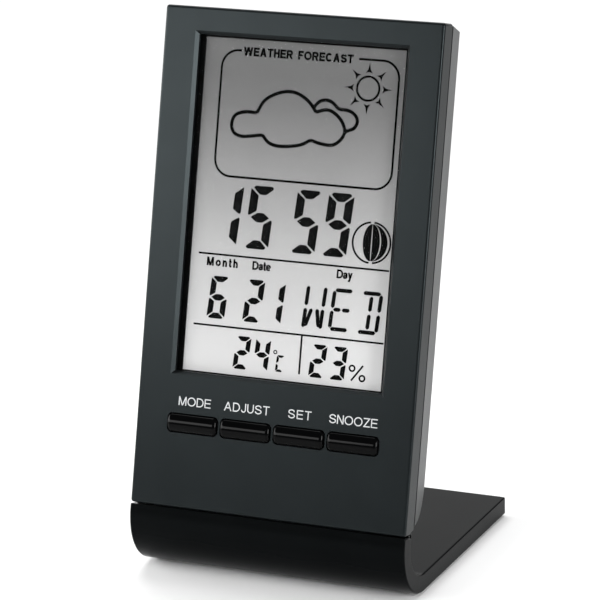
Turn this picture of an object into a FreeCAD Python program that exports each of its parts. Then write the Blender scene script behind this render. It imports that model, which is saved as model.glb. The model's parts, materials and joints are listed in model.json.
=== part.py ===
import FreeCAD, Part

import os
import re

import Sketcher

# Home weather station: a display unit hinged to a folding stand.
#
# The display unit is drawn upright in its own frame, called the case frame below:
# X runs across the face, Y runs back into the case and Z runs up the face, with the
# origin at the middle of the face's bottom edge.  The object App::Placement named
# case_frame leans that frame back and sets it on the stand.  The stand is drawn
# straight in the row's frame: +Z up, X across, -Y to the front, origin on the surface
# it stands on, under the middle of its box.

os.makedirs("parts", exist_ok=True)
doc = FreeCAD.newDocument("home_weather_station")

# ---------------------------------------------------------------- dimensions

DIMENSIONS = [
    # the display unit's case
    ("case_width", 66.4),
    ("case_height", 111.7),
    ("case_depth", 13.7),
    ("parting_depth", 4.8),
    ("front_wall", 1.6),
    ("side_wall", 1.6),
    ("rear_wall", 1.4),
    ("case_corner", 0.7),
    ("front_edge_round", 0.6),
    ("rear_edge_round", 0.8),
    ("rear_side_taper", 1.45),
    ("rear_top_taper", 1.2),
    ("rear_top_drop", 0.4),
    ("shadow_line_depth", 0.8),
    ("shadow_line_inset", 0.3),
    ("relief_start", 1.1),
    ("relief_rise", 1.3),
    ("heel_centre_depth", 5.2),
    ("heel_centre_height", 10.0),
    # how the display unit leans on the stand
    ("lean_angle", 13.8),
    ("lip_rise", 1.65),
    ("seam_gap", 0.3),
    # stand
    ("stand_depth", 64.4),
    ("stand_thick", 4.2),
    ("bend_radius", 12.0),
    ("stand_edge_round", 0.4),
    ("foot_radius", 3.5),
    ("foot_thick", 1.4),
    ("foot_proud", 0.4),
    ("foot_across", 26.0),
    ("foot_front", -15.8),
    ("foot_rear", 26.5),
    # hinge
    ("pivot_depth", 4.1),
    ("pivot_height", -0.5),
    ("barrel_radius", 1.2),
    ("barrel_gap", 0.3),
    ("ear_inner", 28.5),
    ("ear_outer", 32.8),
    ("pin_radius", 0.7),
    ("pin_grip", 0.02),
    ("pin_run", 0.05),
    ("pin_outer", 32.5),
    ("pin_inner", 23.6),
    ("pin_bore_inner", 23.4),
    # window and display stack, front to back
    ("window_width", 51.2),
    ("window_bevel", 0.75),
    ("window_bottom", 29.8),
    ("window_top", 106.4),
    ("plate_corner", 0.5),
    ("tape_thick", 0.1),
    ("lens_thick", 0.8),
    ("lens_width", 52.8),
    ("lens_height", 78.8),
    ("tape_border", 0.7),
    ("gasket_thick", 0.2),
    ("visible_width", 47.8),
    ("visible_bottom", 30.8),
    ("visible_top", 105.2),
    ("polariser_thick", 0.15),
    ("glass_thick", 0.7),
    ("glass_width", 50.6),
    ("glass_bottom", 27.6),
    ("glass_top", 107.0),
    ("contact_ledge", 2.6),
    ("holder_wall", 0.8),
    ("holder_shelf", 0.9),
    ("fit_gap", 0.1),
    ("zebra_width", 46.0),
    ("zebra_thick", 1.6),
    # circuit board
    ("board_width", 61.0),
    ("board_bottom", 15.7),
    ("board_top", 108.4),
    ("board_front", 6.7),
    ("board_thick", 1.0),
    # keys
    ("key_pitch", 12.87),
    ("key_opening_width", 12.4),
    ("key_opening_height", 4.5),
    ("key_opening_corner", 1.15),
    ("key_centre", 18.95),
    ("key_gap", 0.15),
    ("key_crown", 0.95),
    ("key_edge_round", 0.9),
    ("key_flange_over", 1.0),
    ("key_flange_thick", 0.9),
    ("key_rest_gap", 0.05),
    ("key_travel", 0.8),
    ("key_end_round", 1.0),
    ("post_radius", 1.5),
    ("pill_thick", 0.1),
    ("mat_thick", 0.8),
    ("mat_height", 7.4),
    ("mat_width", 54.0),
    ("mat_ring_gap", 0.4),
    # screws and bosses
    ("case_screw_across", 28.8),
    ("case_screw_top", 106.4),
    ("case_screw_bottom", 12.4),
    ("case_boss_radius", 2.0),
    ("case_head_radius", 1.7),
    ("case_head_thick", 1.1),
    ("case_shank_radius", 0.9),
    ("counterbore_radius", 1.9),
    ("boss_wall", 0.6),
    ("counterbore_floor", 10.6),
    ("case_screw_tip", 3.0),
    ("board_screw_across", 28.5),
    ("board_screw_top", 88.0),
    ("board_screw_bottom", 36.0),
    ("board_post_radius", 1.7),
    ("board_head_radius", 1.4),
    ("board_head_thick", 0.9),
    ("board_shank_radius", 0.7),
    ("board_screw_tip", 3.2),
    ("thread_gap", 0.03),
    # battery bay
    ("cell_radius", 5.2),
    ("cell_length", 43.6),
    ("cell_left", -22.0),
    ("cell_depth", 6.95),
    ("cell_height", 9.8),
    ("cell_button_radius", 1.9),
    ("cell_button_length", 0.9),
    ("contact_thick", 0.3),
    ("contact_rib", 1.0),
    ("contact_front", 3.0),
    ("contact_back", 10.6),
    ("contact_bottom", 5.7),
    ("contact_tab_out", 1.8),
    ("contact_tab_up", 2.4),
    ("spring_wire", 0.25),
    ("spring_length", 2.1),
    ("spring_radius", 3.15),
    ("spring_pitch", 0.7),
    ("spring_flare", -20.0),
    ("door_width", 47.6),
    ("door_bottom", 3.2),
    ("door_top", 17.2),
    ("door_gap", 0.15),
    ("groove_count", 4),
    ("groove_pitch", 1.0),
    ("groove_width", 0.5),
    ("groove_length", 12.0),
    ("groove_depth", 0.35),
    ("groove_from_top", 1.1),
    # openings in the rear case
    ("vent_count", 6),
    ("vent_pitch", 2.4),
    ("vent_length", 22.0),
    ("vent_height", 1.2),
    ("vent_bottom", 86.0),
    ("sound_hole_radius", 0.7),
    ("sound_ring_radius", 3.0),
    # parts on the circuit board
    ("buzzer_radius", 6.5),
    ("buzzer_thick", 3.4),
    ("buzzer_across", 16.0),
    ("buzzer_height", 68.0),
    ("buzzer_hole_radius", 1.0),
    ("blob_radius", 5.0),
    ("blob_rise", 1.6),
    ("thermistor_radius", 1.1),
    ("thermistor_out", 3.0),
    ("thermistor_leg_radius", 0.22),
    ("crystal_radius", 1.0),
    ("crystal_length", 6.0),
    ("capacitor_radius", 2.0),
    ("capacitor_length", 4.6),
]

sheet = doc.addObject("Spreadsheet::Sheet", "dims")
for row, (alias, number) in enumerate(DIMENSIONS, start=1):
    sheet.set("A%d" % row, alias)
    sheet.set("B%d" % row, str(number))
    sheet.setAlias("B%d" % row, alias)
doc.recompute()
ALIASES = {alias for alias, number in DIMENSIONS}


def value(alias):
    """One driving dimension as a number."""
    return float(sheet.get(alias))


def bound(text):
    """An expression in the sheet's aliases, with the sheet's name put before each."""
    def with_sheet(match):
        word = match.group(0)
        return "dims." + word if word in ALIASES else word
    return re.sub(r"[a-z_]+", with_sheet, str(text))


# ------------------------------------------------------------- the two frames

case_frame = doc.addObject("App::Placement", "case_frame")
CASE_Y = "-stand_depth / 2 + bend_radius * (1 - cos(lean_angle)) + lip_rise * sin(lean_angle)"
CASE_Z = ("foot_proud + bend_radius * (1 + sin(lean_angle))"
          " + lip_rise * cos(lean_angle)")
case_frame.setExpression("Placement", bound(
    "placement(vector(0; %s; %s); rotation(vector(1; 0; 0); -lean_angle))" % (CASE_Y, CASE_Z)))

ALONG = {
    "x": FreeCAD.Rotation(FreeCAD.Vector(0, 1, 0), 90),
    "y": FreeCAD.Rotation(FreeCAD.Vector(1, 0, 0), -90),
    "z": FreeCAD.Rotation(),
}


# ------------------------------------------------------------ building blocks

def move_to(thing, x, y, z):
    """Bind a thing's base point to three expressions."""
    for axis, text in zip("xyz", (x, y, z)):
        thing.setExpression("Placement.Base." + axis, bound(text))


def box(name, x, y, z):
    """A box from its low and high side along each axis, as expressions."""
    block = doc.addObject("Part::Box", name)
    for side, (low, high) in zip(("Length", "Width", "Height"), (x, y, z)):
        block.setExpression(side, bound("(%s) - (%s)" % (high, low)))
    move_to(block, x[0], y[0], z[0])
    return block


def rod(name, radius, along, span, centre):
    """A cylinder along one axis, over a span, about a centre in the other two axes."""
    cylinder = doc.addObject("Part::Cylinder", name)
    cylinder.setExpression("Radius", bound(radius))
    cylinder.setExpression("Height", bound("(%s) - (%s)" % (span[1], span[0])))
    cylinder.Placement.Rotation = ALONG[along]
    base = list(centre)
    base.insert("xyz".index(along), span[0])
    move_to(cylinder, *base)
    return cylinder


def wedge(name, depth, front, back):
    """A block that tapers from its front to its back.

    front and back each give the low and high side across, then up.
    """
    block = doc.addObject("Part::Wedge", name)
    sides = {
        "Ymin": depth[0], "Ymax": depth[1],
        "Xmin": front[0][0], "Xmax": front[0][1], "Zmin": front[1][0], "Zmax": front[1][1],
        "X2min": back[0][0], "X2max": back[0][1], "Z2min": back[1][0], "Z2max": back[1][1],
    }
    for side, text in sides.items():
        block.setExpression(side, bound(text))
    return block


def fuse(name, pieces):
    """One solid from several that touch."""
    union = doc.addObject("Part::MultiFuse", name)
    union.Shapes = pieces
    union.Refine = True
    return union


def cut(name, base, tools):
    """A base less its tools."""
    tool = tools[0] if len(tools) == 1 else fuse(name + "_tools", tools)
    difference = doc.addObject("Part::Cut", name)
    difference.Base = base
    difference.Tool = tool
    difference.Refine = True
    return difference


def common(name, base, tool):
    """What two solids share."""
    overlap = doc.addObject("Part::Common", name)
    overlap.Base = base
    overlap.Tool = tool
    return overlap


def edge_names(shape, wanted):
    """Names of the edges of a shape that pass a test on their middle and direction."""
    names = []
    for number, edge in enumerate(shape.Edges, start=1):
        middle = edge.valueAt((edge.FirstParameter + edge.LastParameter) / 2)
        run = edge.Vertexes[-1].Point - edge.Vertexes[0].Point
        if run.Length:
            run = run / run.Length
        if wanted(middle, run):
            names.append("Edge%d" % number)
    return names


def rounded_edges(body, name, feature, radius, wanted):
    """Round the edges of a body's feature that pass the test."""
    doc.recompute()
    fillet = body.newObject("PartDesign::Fillet", name)
    fillet.Base = (feature, edge_names(feature.Shape, wanted))
    fillet.setExpression("Radius", bound(radius))
    body.Tip = fillet
    return fillet


def origin_plane(body, role):
    """One of a body's own origin planes."""
    return next(plane for plane in body.Origin.OriginFeatures if plane.Role == role)


def centred_rectangle(body, name, width, height):
    """A rectangle about the origin of the body's XZ plane, driven by the sheet."""
    sketch = body.newObject("Sketcher::SketchObject", name)
    sketch.AttachmentSupport = [(origin_plane(body, "XZ_Plane"), "")]
    sketch.MapMode = "FlatFace"
    corners = [FreeCAD.Vector(-5, -5, 0), FreeCAD.Vector(5, -5, 0),
               FreeCAD.Vector(5, 5, 0), FreeCAD.Vector(-5, 5, 0)]
    for start, end in zip(corners, corners[1:] + corners[:1]):
        sketch.addGeometry(Part.LineSegment(start, end), False)
    for line in range(4):
        sketch.addConstraint(Sketcher.Constraint("Coincident", line, 2, (line + 1) % 4, 1))
        level = "Horizontal" if line % 2 == 0 else "Vertical"
        sketch.addConstraint(Sketcher.Constraint(level, line))
    sketch.addConstraint(Sketcher.Constraint("Symmetric", 0, 1, 2, 1, -1, 1))
    across = sketch.addConstraint(Sketcher.Constraint("DistanceX", 0, 1, 0, 2, 10.0))
    upward = sketch.addConstraint(Sketcher.Constraint("DistanceY", 1, 1, 1, 2, 10.0))
    sketch.renameConstraint(across, "width")
    sketch.renameConstraint(upward, "height")
    sketch.setExpression("Constraints.width", bound(width))
    sketch.setExpression("Constraints.height", bound(height))
    return sketch


def front_to_back(middle, run):
    return abs(run.y) > 0.9


def plate(name, width, height, depth, middle, corner=None):
    """A flat piece facing the front: a padded rectangle with rounded corners.

    depth is where it starts and ends behind the face, and middle is where its centre
    lies across and up the face.
    """
    body = doc.addObject("PartDesign::Body", name)
    sketch = centred_rectangle(body, name + "_outline", width, height)
    pad = body.newObject("PartDesign::Pad", name + "_pad")
    pad.Profile = sketch
    pad.Reversed = True
    pad.setExpression("Length", bound("(%s) - (%s)" % (depth[1], depth[0])))
    body.Tip = pad
    if corner:
        rounded_edges(body, name + "_corners", pad, corner, front_to_back)
    move_to(body, middle[0], depth[0], middle[1])
    return body


def node(label, thing, leaning=True):
    """Name a finished piece, and set it in the case frame or leave it in the row's."""
    if thing.TypeId in ("Part::Box", "Part::Cylinder", "PartDesign::Body"):
        group = doc.addObject("Part::Compound", label + "_placed")
        group.Links = [thing]
        thing = group
    if leaning:
        thing.setExpression("Placement", "case_frame.Placement")
    thing.Label = label
    NODES[label] = thing
    return thing


def group_node(label, pieces, leaning=True):
    """Several separate solids that are one node."""
    group = doc.addObject("Part::Compound", label + "_group")
    group.Links = pieces
    return node(label, group, leaning)


NODES = {}
SIDES = (("left", "-1"), ("right", "1"))
KEYS = (("mode", -1.5), ("adjust", -0.5), ("set", 0.5), ("snooze", 1.5))

HALF = "case_width / 2"
LENS_FRONT = "front_wall + tape_thick"
LENS_BACK = "front_wall + tape_thick + lens_thick"
FILM_FRONT = LENS_BACK + " + gasket_thick"
GLASS_FRONT = FILM_FRONT + " + polariser_thick"
GLASS_JOIN = GLASS_FRONT + " + glass_thick"
GLASS_BACK = GLASS_JOIN + " + glass_thick"
WINDOW_HEIGHT = "window_top - window_bottom"
WINDOW_MIDDLE = "(window_top + window_bottom) / 2"
VISIBLE_MIDDLE = "(visible_top + visible_bottom) / 2"
GLASS_MIDDLE = "(glass_top + glass_bottom) / 2"

# ---------------------------------------------------------------- the stand

def stand_profile():
    """The flat base, the bend and the lip, each across the whole width."""
    across = ("-" + HALF, HALF)
    centre = ("-stand_depth / 2 + bend_radius", "foot_proud + bend_radius")
    base = box("stand_base", across, (centre[0], "stand_depth / 2"),
               ("foot_proud", "foot_proud + stand_thick"))
    outer = rod("bend_outer", "bend_radius", "x", across, centre)
    outer.setExpression("Angle", bound("90 + lean_angle"))
    outer.setExpression("Placement", bound(
        "placement(vector(-%s; %s; %s); rotation(vector(1; 0; 0); -90 - lean_angle)"
        " * rotation(vector(0; 1; 0); 90))" % ((HALF,) + centre)))
    inner = rod("bend_inner", "bend_radius - stand_thick", "x",
                ("-%s - 1" % HALF, HALF + " + 1"), centre)
    bend = cut("bend", outer, [inner])
    lip = box("lip", across, ("0", "stand_thick"), ("-lip_rise", "-seam_gap"))
    lip_leaning = doc.addObject("Part::Compound", "lip_leaning")
    lip_leaning.Links = [lip]
    lip_leaning.setExpression("Placement", "case_frame.Placement")
    return fuse("stand_profile", [base, bend, lip_leaning])


def part_fillet(name, base, picks):
    """Round edges of a boolean's result; picks are (radius, test) pairs."""
    doc.recompute()
    fillet = doc.addObject("Part::Fillet", name)
    fillet.Base = base
    rounds = []
    for radius, wanted in picks:
        rounds += [(int(edge[4:]), value(radius), value(radius))
                   for edge in edge_names(base.Shape, wanted)]
    fillet.Edges = rounds
    return fillet


def at_the_ends(middle, run):
    """Edges that outline the stand's two ends or its rear edge."""
    beside = abs(abs(middle.x) - value("case_width") / 2) < 0.01
    behind = abs(middle.y - value("stand_depth") / 2) < 0.01
    return beside or behind


def spaced(text):
    """An expression in brackets, so that a sign can go before it."""
    return "(%s)" % text


def in_case_frame(name, pieces):
    """Pieces drawn in the case frame, put where the leaning case has them."""
    group = doc.addObject("Part::Compound", name)
    group.Links = pieces
    group.setExpression("Placement", "case_frame.Placement")
    return group


def hinge_rod(name, side, radius, inner, outer):
    """A rod about the hinge's axis at one end of the seam."""
    span = (inner, outer) if side == "1" else ("-(%s)" % outer, "-(%s)" % inner)
    return rod(name, radius, "x", span, ("pivot_depth", "pivot_height"))


def stand():
    """The bent plate, with an ear near each end of its lip and a channel between them."""
    rounded = part_fillet("stand_rounded", stand_profile(), [("stand_edge_round", at_the_ends)])
    ears = [hinge_rod("ear_" + name, side, "barrel_radius", "ear_inner", "ear_outer")
            for name, side in SIDES]
    eared = fuse("stand_eared", [rounded, in_case_frame("ears", ears)])
    pockets = [rod("barrel_channel", "barrel_radius + barrel_gap", "x",
                   ("-ear_inner", "ear_inner"), ("pivot_depth", "pivot_height"))]
    for name, side in SIDES:
        pockets.append(hinge_rod("ear_bore_" + name, side, "pin_radius + pin_grip",
                                 "ear_inner - 1", "ear_outer + 1"))
    recesses = [rod("foot_recess_%d" % number, "foot_radius + fit_gap", "z",
                    ("foot_proud - 1", "foot_thick"), centre)
                for number, centre in enumerate(foot_centres())]
    return node("stand", cut("stand_cut", eared, [in_case_frame("pockets", pockets)] + recesses),
                leaning=False)


def foot_centres():
    return [(side + " * foot_across", end)
            for name, side in SIDES for end in ("foot_front", "foot_rear")]


def stand_feet():
    feet = [rod("foot_%d" % number, "foot_radius", "z", ("0", "foot_thick"), centre)
            for number, centre in enumerate(foot_centres())]
    return group_node("stand_feet", feet, leaning=False)


def hinge_pins():
    pins = [hinge_rod("hinge_pin_" + name, side, "pin_radius", "pin_inner", "pin_outer")
            for name, side in SIDES]
    return group_node("hinge_pins", pins)


# ---------------------------------------------------------- the two case shells

def case_screw_places():
    return [(side + " * case_screw_across", height)
            for name, side in SIDES for height in ("case_screw_bottom", "case_screw_top")]


def board_screw_places():
    return [(side + " * board_screw_across", height)
            for name, side in SIDES for height in ("board_screw_bottom", "board_screw_top")]


def rods_at(name, places, radius, depth):
    """The same rod, front to back, at each place on the face."""
    return [rod("%s_%d" % (name, number), radius, "y", depth, place)
            for number, place in enumerate(places)]


def key_middle(step):
    return "%s * key_pitch" % step


def front_case():
    """A tray, open at the back, with the window, the key openings and its bosses."""
    block = plate("front_block", "case_width", "case_height", ("0", "parting_depth"),
                  ("0", "case_height / 2"), "case_corner")
    rounded_edges(block, "front_round", block.Tip, "front_edge_round", on_the_face)
    hollow = box("front_hollow", ("-%s + side_wall" % HALF, HALF + " - side_wall"),
                 ("front_wall", "parting_depth + 1"),
                 ("relief_rise + side_wall", "case_height - side_wall"))
    openings = [plate("opening_" + name, "key_opening_width", "key_opening_height",
                      ("-1", "front_wall + 1"), (key_middle(step), "key_centre"),
                      "key_opening_corner") for name, step in KEYS]
    shell = cut("front_shell", block, [hollow, bottom_relief(), window_opening()] + openings)
    bosses = rods_at("front_boss", case_screw_places(), "case_boss_radius",
                     ("front_wall - 0.2", "parting_depth"))
    posts = rods_at("board_post", board_screw_places(), "board_post_radius",
                    ("front_wall - 0.2", "board_front"))
    whole = fuse("front_whole", [shell] + bosses + posts + contact_ribs() + hinge_barrel())
    bores = rods_at("front_pilot", case_screw_places(), "case_shank_radius + thread_gap",
                    ("case_screw_tip - 0.1", "parting_depth + 1"))
    bores += rods_at("post_pilot", board_screw_places(), "board_shank_radius + thread_gap",
                     ("board_screw_tip - 0.1", "board_front + 1"))
    bores += [hinge_rod("barrel_bore_" + name, side, "pin_radius + pin_run",
                        "pin_bore_inner", "ear_inner + 1") for name, side in SIDES]
    return node("front_case", cut("front_case_cut", whole, bores))


def on_the_face(middle, run):
    return abs(middle.y) < 0.01


def bottom_relief():
    """The slanting cut under the case that clears the stand's lip and ears."""
    across = ("-%s - 1" % HALF, HALF + " + 1")
    rise = "relief_rise * (parting_depth + 1 - relief_start) / (parting_depth - relief_start)"
    return wedge("bottom_relief", ("relief_start", "parting_depth + 1"),
                 (across, ("-2", "0")), (across, ("-2", rise)))


def window_opening():
    """The window's opening, bevelled all round at the face."""
    narrow = "window_width / 2 - window_bevel"
    wide = "window_width / 2 + 1"
    across = ("-" + spaced(narrow), narrow)
    upright = ("window_bottom + window_bevel", "window_top - window_bevel")
    bevel = wedge("window_bevelled", ("-1", "window_bevel"),
                  (("-" + spaced(wide), wide), ("window_bottom - 1", "window_top + 1")),
                  (across, upright))
    straight = box("window_straight", across, ("-1", "front_wall + 1"), upright)
    return fuse("window_opening", [bevel, straight])


def contact_ribs():
    """The two ribs that hold the battery's contacts."""
    spring_side = "cell_left - spring_length - contact_thick"
    plate_side = "cell_left + cell_length + cell_button_length + contact_thick"
    spans = (("spring", (spring_side + " - contact_rib", spring_side)),
             ("plate", (plate_side, plate_side + " + contact_rib")))
    return [box("contact_rib_" + name, across, ("front_wall - 0.2", "parting_depth"),
                ("relief_rise + 1", "board_bottom - 1")) for name, across in spans]


def hinge_barrel():
    """The round bar under the case, between the stand's ears, and the web it hangs from."""
    across = ("-ear_inner + barrel_gap", "ear_inner - barrel_gap")
    barrel = rod("hinge_barrel", "barrel_radius", "x", across, ("pivot_depth", "pivot_height"))
    web = box("barrel_web", across, ("pivot_depth - barrel_radius", "parting_depth - 0.1"),
              ("pivot_height", "relief_rise + 0.2"))
    return [barrel, web]


def rear_outer(name, inset):
    """The rear case's outer form, or with an inset the room inside it.

    Seen from the side its heel is an arc that lets it swing past the stand's bend, and
    its top and sides draw in a little towards the back.
    """
    depth = ("parting_depth" if inset == "0" else "parting_depth - 1", "case_depth - " + inset)
    edge = "%s - %s" % (HALF, inset)
    back_edge = edge + " - rear_side_taper"
    top = "case_height - rear_top_drop - " + inset
    block = wedge(name + "_block", depth,
                  (("-" + spaced(edge), edge), (inset, top)),
                  (("-" + spaced(back_edge), back_edge), (inset, top + " - rear_top_taper")))
    heel_box = box(name + "_heel_box", ("-%s - 1" % HALF, HALF + " + 1"),
                   ("parting_depth - 2", "case_depth + 1"), ("-1", "heel_centre_height"))
    heel_rod = rod(name + "_heel_rod", "case_depth - heel_centre_depth - %s" % inset, "x",
                   ("-%s - 2" % HALF, HALF + " + 2"),
                   ("heel_centre_depth", "heel_centre_height"))
    return cut(name, block, [cut(name + "_heel", heel_box, [heel_rod])])


def rear_edges(middle, run):
    """The rear case's back edges above the heel, and its two long heel edges."""
    at_back = abs(middle.y - value("case_depth")) < 0.01
    above_heel = middle.z > value("heel_centre_height") + 0.5
    tapered = abs(middle.x) > value("case_width") / 2 - value("rear_side_taper") - 0.1
    at_top = middle.z > value("case_height") - 3
    heel_side = tapered and middle.z < value("heel_centre_height")
    return (at_back and above_heel and (tapered or at_top)) or (heel_side and middle.y > 8)


def rear_shell():
    outer = part_fillet("rear_rounded", rear_outer("rear_outer", "0"),
                        [("rear_edge_round", rear_edges)])
    hollow = cut("rear_hollow_kept", rear_outer("rear_hollow", "rear_wall"), [
        box("contact_land_" + name, x, ("case_depth - rear_wall - 0.8", "case_depth"),
            ("0", "board_bottom"))
        for name, x in (("left", ("-" + HALF, "-door_width / 2 - 1")),
                        ("right", ("door_width / 2 + 1", HALF)))])
    return cut("rear_shell", outer, [hollow, shadow_line()])


def shadow_line():
    """The thin step round the rear case's rim that parts it from the front case."""
    depth = ("parting_depth - 1", "parting_depth + shadow_line_depth")
    inner_edge = HALF + " - shadow_line_inset"
    around = box("shadow_line_outer", ("-%s - 1" % HALF, HALF + " + 1"), depth,
                 ("-2", "case_height + 1"))
    inside = box("shadow_line_inner", ("-" + spaced(inner_edge), inner_edge), depth,
                 ("-2", "case_height - rear_top_drop - shadow_line_inset"))
    return cut("shadow_line", around, [inside])


def door_space(name, gap):
    """The block of the rear case that the battery door takes up, less a gap all round."""
    return box(name, ("-door_width / 2 + %s" % gap, "door_width / 2 - %s" % gap),
               ("parting_depth", "case_depth + 1"),
               ("door_bottom + %s" % gap, "door_top - %s" % gap))


def vents():
    """Rows of slots that let room air reach the sensors."""
    slots = []
    for number in range(int(value("vent_count"))):
        low = "vent_bottom + %d * vent_pitch" % number
        slots.append(box("vent_%d" % number, ("-vent_length / 2", "vent_length / 2"),
                         ("case_depth - rear_wall - 2", "case_depth + 1"),
                         (low, low + " + vent_height")))
    return slots


def sound_holes():
    """A ring of small holes over the buzzer, with one in the middle."""
    depth = ("case_depth - rear_wall - 1", "case_depth + 1")
    holes = [rod("sound_hole_0", "sound_hole_radius", "y", depth,
                 ("buzzer_across", "buzzer_height"))]
    for number in range(6):
        turn = number * 60
        place = ("buzzer_across + sound_ring_radius * cos(%d)" % turn,
                 "buzzer_height + sound_ring_radius * sin(%d)" % turn)
        holes.append(rod("sound_hole_%d" % (number + 1), "sound_hole_radius", "y", depth, place))
    return holes


def rear_case(shell):
    bosses = rods_at("rear_boss", case_screw_places(), "counterbore_radius + boss_wall",
                     ("parting_depth", "case_depth - rear_wall + 0.3"))
    outside = common("rear_bosses_kept", fuse("rear_bosses", bosses),
                     rear_outer("rear_limit", "0"))
    whole = fuse("rear_whole", [shell, outside])
    tools = rods_at("counterbore", case_screw_places(), "counterbore_radius",
                    ("counterbore_floor", "case_depth + 1"))
    tools += rods_at("screw_way", case_screw_places(), "case_shank_radius + 0.2",
                     ("parting_depth - 1", "case_depth"))
    tools += [door_space("door_opening", "0")] + vents() + sound_holes()
    return node("rear_case", cut("rear_case_cut", whole, tools))


def battery_door(shell):
    """The piece of the rear case over the cell, with a ribbed thumb grip."""
    skin = common("door_skin", shell, door_space("door_space", "door_gap"))
    grooves = []
    for number in range(int(value("groove_count"))):
        high = "door_top - groove_from_top - %d * groove_pitch" % number
        grooves.append(box("door_groove_%d" % number, ("-groove_length / 2", "groove_length / 2"),
                           ("case_depth - groove_depth", "case_depth + 1"),
                           (high + " - groove_width", high)))
    return node("battery_door", cut("battery_door_cut", skin, grooves))


# ------------------------------------------------------- window and display stack

def frame_piece(label, outer, inner, depth):
    """A flat frame: a plate less a smaller plate, each (width, height, middle height)."""
    ring = plate(label + "_outer", outer[0], outer[1], depth, ("0", outer[2]))
    hole = plate(label + "_hole", inner[0], inner[1],
                 ("%s - 1" % depth[0], "%s + 1" % depth[1]), ("0", inner[2]))
    return cut(label + "_cut", ring, [hole])


def window():
    lens = plate("lens_plate", "lens_width", "lens_height", (LENS_FRONT, LENS_BACK),
                 ("0", WINDOW_MIDDLE), "plate_corner")
    node("window_lens", lens)
    node("lens_tape", frame_piece(
        "tape", ("lens_width", "lens_height", WINDOW_MIDDLE),
        ("lens_width - 2 * tape_border", "lens_height - 2 * tape_border", WINDOW_MIDDLE),
        ("front_wall", LENS_FRONT)))


def display():
    glass_height = "glass_top - glass_bottom"
    node("lcd_gasket", frame_piece(
        "gasket", ("glass_width", glass_height, GLASS_MIDDLE),
        ("visible_width", "visible_top - visible_bottom", VISIBLE_MIDDLE),
        (LENS_BACK, FILM_FRONT)))
    short_height = glass_height + " - contact_ledge"
    short_middle = GLASS_MIDDLE + " + contact_ledge / 2"
    layers = (
        ("lcd_front_polariser", short_height, short_middle, FILM_FRONT, GLASS_FRONT),
        ("lcd_front_glass", glass_height, GLASS_MIDDLE, GLASS_FRONT, GLASS_JOIN),
        ("lcd_rear_glass", short_height, short_middle, GLASS_JOIN, GLASS_BACK),
        ("lcd_reflector", short_height, short_middle, GLASS_BACK,
         GLASS_BACK + " + polariser_thick"),
    )
    for label, height, middle, front, back in layers:
        node(label, plate(label + "_plate", "glass_width", height, (front, back), ("0", middle)))


def zebra_box(name, gap):
    """The zebra strip, or with a gap the slot in the holder that it sits in."""
    return box(name, ("-zebra_width / 2 - %s" % gap, "zebra_width / 2 + %s" % gap),
               (GLASS_JOIN, "board_front"),
               ("glass_bottom + 0.4 - %s" % gap, "glass_bottom + 0.4 + zebra_thick + %s" % gap))


def lcd_holder():
    """A frame round the glass, with a shelf behind it that rests on the board."""
    around = "glass_width + 2 * fit_gap"
    tall = "glass_top - glass_bottom + 2 * fit_gap"
    rim = plate("holder_rim", around + " + 2 * holder_wall", tall + " + 2 * holder_wall",
                (LENS_BACK, "board_front"), ("0", GLASS_MIDDLE), "plate_corner")
    pocket = plate("holder_pocket", around, tall, (LENS_BACK + " - 1",
                   GLASS_BACK + " + polariser_thick"), ("0", GLASS_MIDDLE))
    shelf_hole = plate("holder_shelf_hole", around + " - 2 * holder_shelf",
                       tall + " - 4 * contact_ledge", (LENS_BACK, "board_front + 1"),
                       ("0", GLASS_MIDDLE))
    node("lcd_holder", cut("holder_cut", rim,
                           [pocket, shelf_hole, zebra_box("zebra_slot", "fit_gap")]))
    node("zebra_strip", zebra_box("zebra", "0"))


# ------------------------------------------------------------- circuit board

BOARD_BACK = "board_front + board_thick"


def main_board():
    board = plate("board", "board_width", "board_top - board_bottom",
                  ("board_front", BOARD_BACK), ("0", "(board_top + board_bottom) / 2"),
                  "plate_corner")
    top_corners = [place for place in case_screw_places() if place[1] == "case_screw_top"]
    notches = rods_at("board_notch", top_corners, "counterbore_radius + boss_wall + 0.3",
                      ("board_front - 1", BOARD_BACK + " + 1"))
    holes = rods_at("board_hole", board_screw_places(), "board_shank_radius + fit_gap",
                    ("board_front - 1", BOARD_BACK + " + 1"))
    node("main_board", cut("board_cut", board, notches + holes))


def screws(label, places, head, shank):
    """Screws in a group: each has a round head with a cross slot, and a plain shank."""
    pieces = []
    for number, (across, height) in enumerate(places):
        name = "%s_%d" % (label, number)
        blank = fuse(name + "_blank", [
            rod(name + "_head", head[0], "y", head[1], (across, height)),
            rod(name + "_shank", shank[0], "y", shank[1], (across, height))])
        slots = [box("%s_slot_%s" % (name, way),
                     ("%s - %s" % (across, wide), "%s + %s" % (across, wide)),
                     (head[1][1] + " - 0.6", head[1][1] + " + 1"),
                     ("%s - %s" % (height, tall), "%s + %s" % (height, tall)))
                 for way, wide, tall in (("across", 0.9, 0.2), ("upright", 0.2, 0.9))]
        pieces.append(cut(name, blank, slots))
    group_node(label, pieces)


def all_screws():
    screws("case_screws", case_screw_places(),
           ("case_head_radius", ("counterbore_floor", "counterbore_floor + case_head_thick")),
           ("case_shank_radius", ("case_screw_tip", "counterbore_floor")))
    screws("board_screws", board_screw_places(),
           ("board_head_radius", (BOARD_BACK, BOARD_BACK + " + board_head_thick")),
           ("board_shank_radius", ("board_screw_tip", BOARD_BACK)))


def on_board(name, size, place):
    """A block on the board's back face: width, thickness and height, then its middle."""
    wide, thick, tall = size
    across, height = place
    return box(name, ("%s - %s" % (across, wide / 2), "%s + %s" % (across, wide / 2)),
               (BOARD_BACK, "%s + %s" % (BOARD_BACK, thick)),
               ("%s - %s" % (height, tall / 2), "%s + %s" % (height, tall / 2)))


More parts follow.
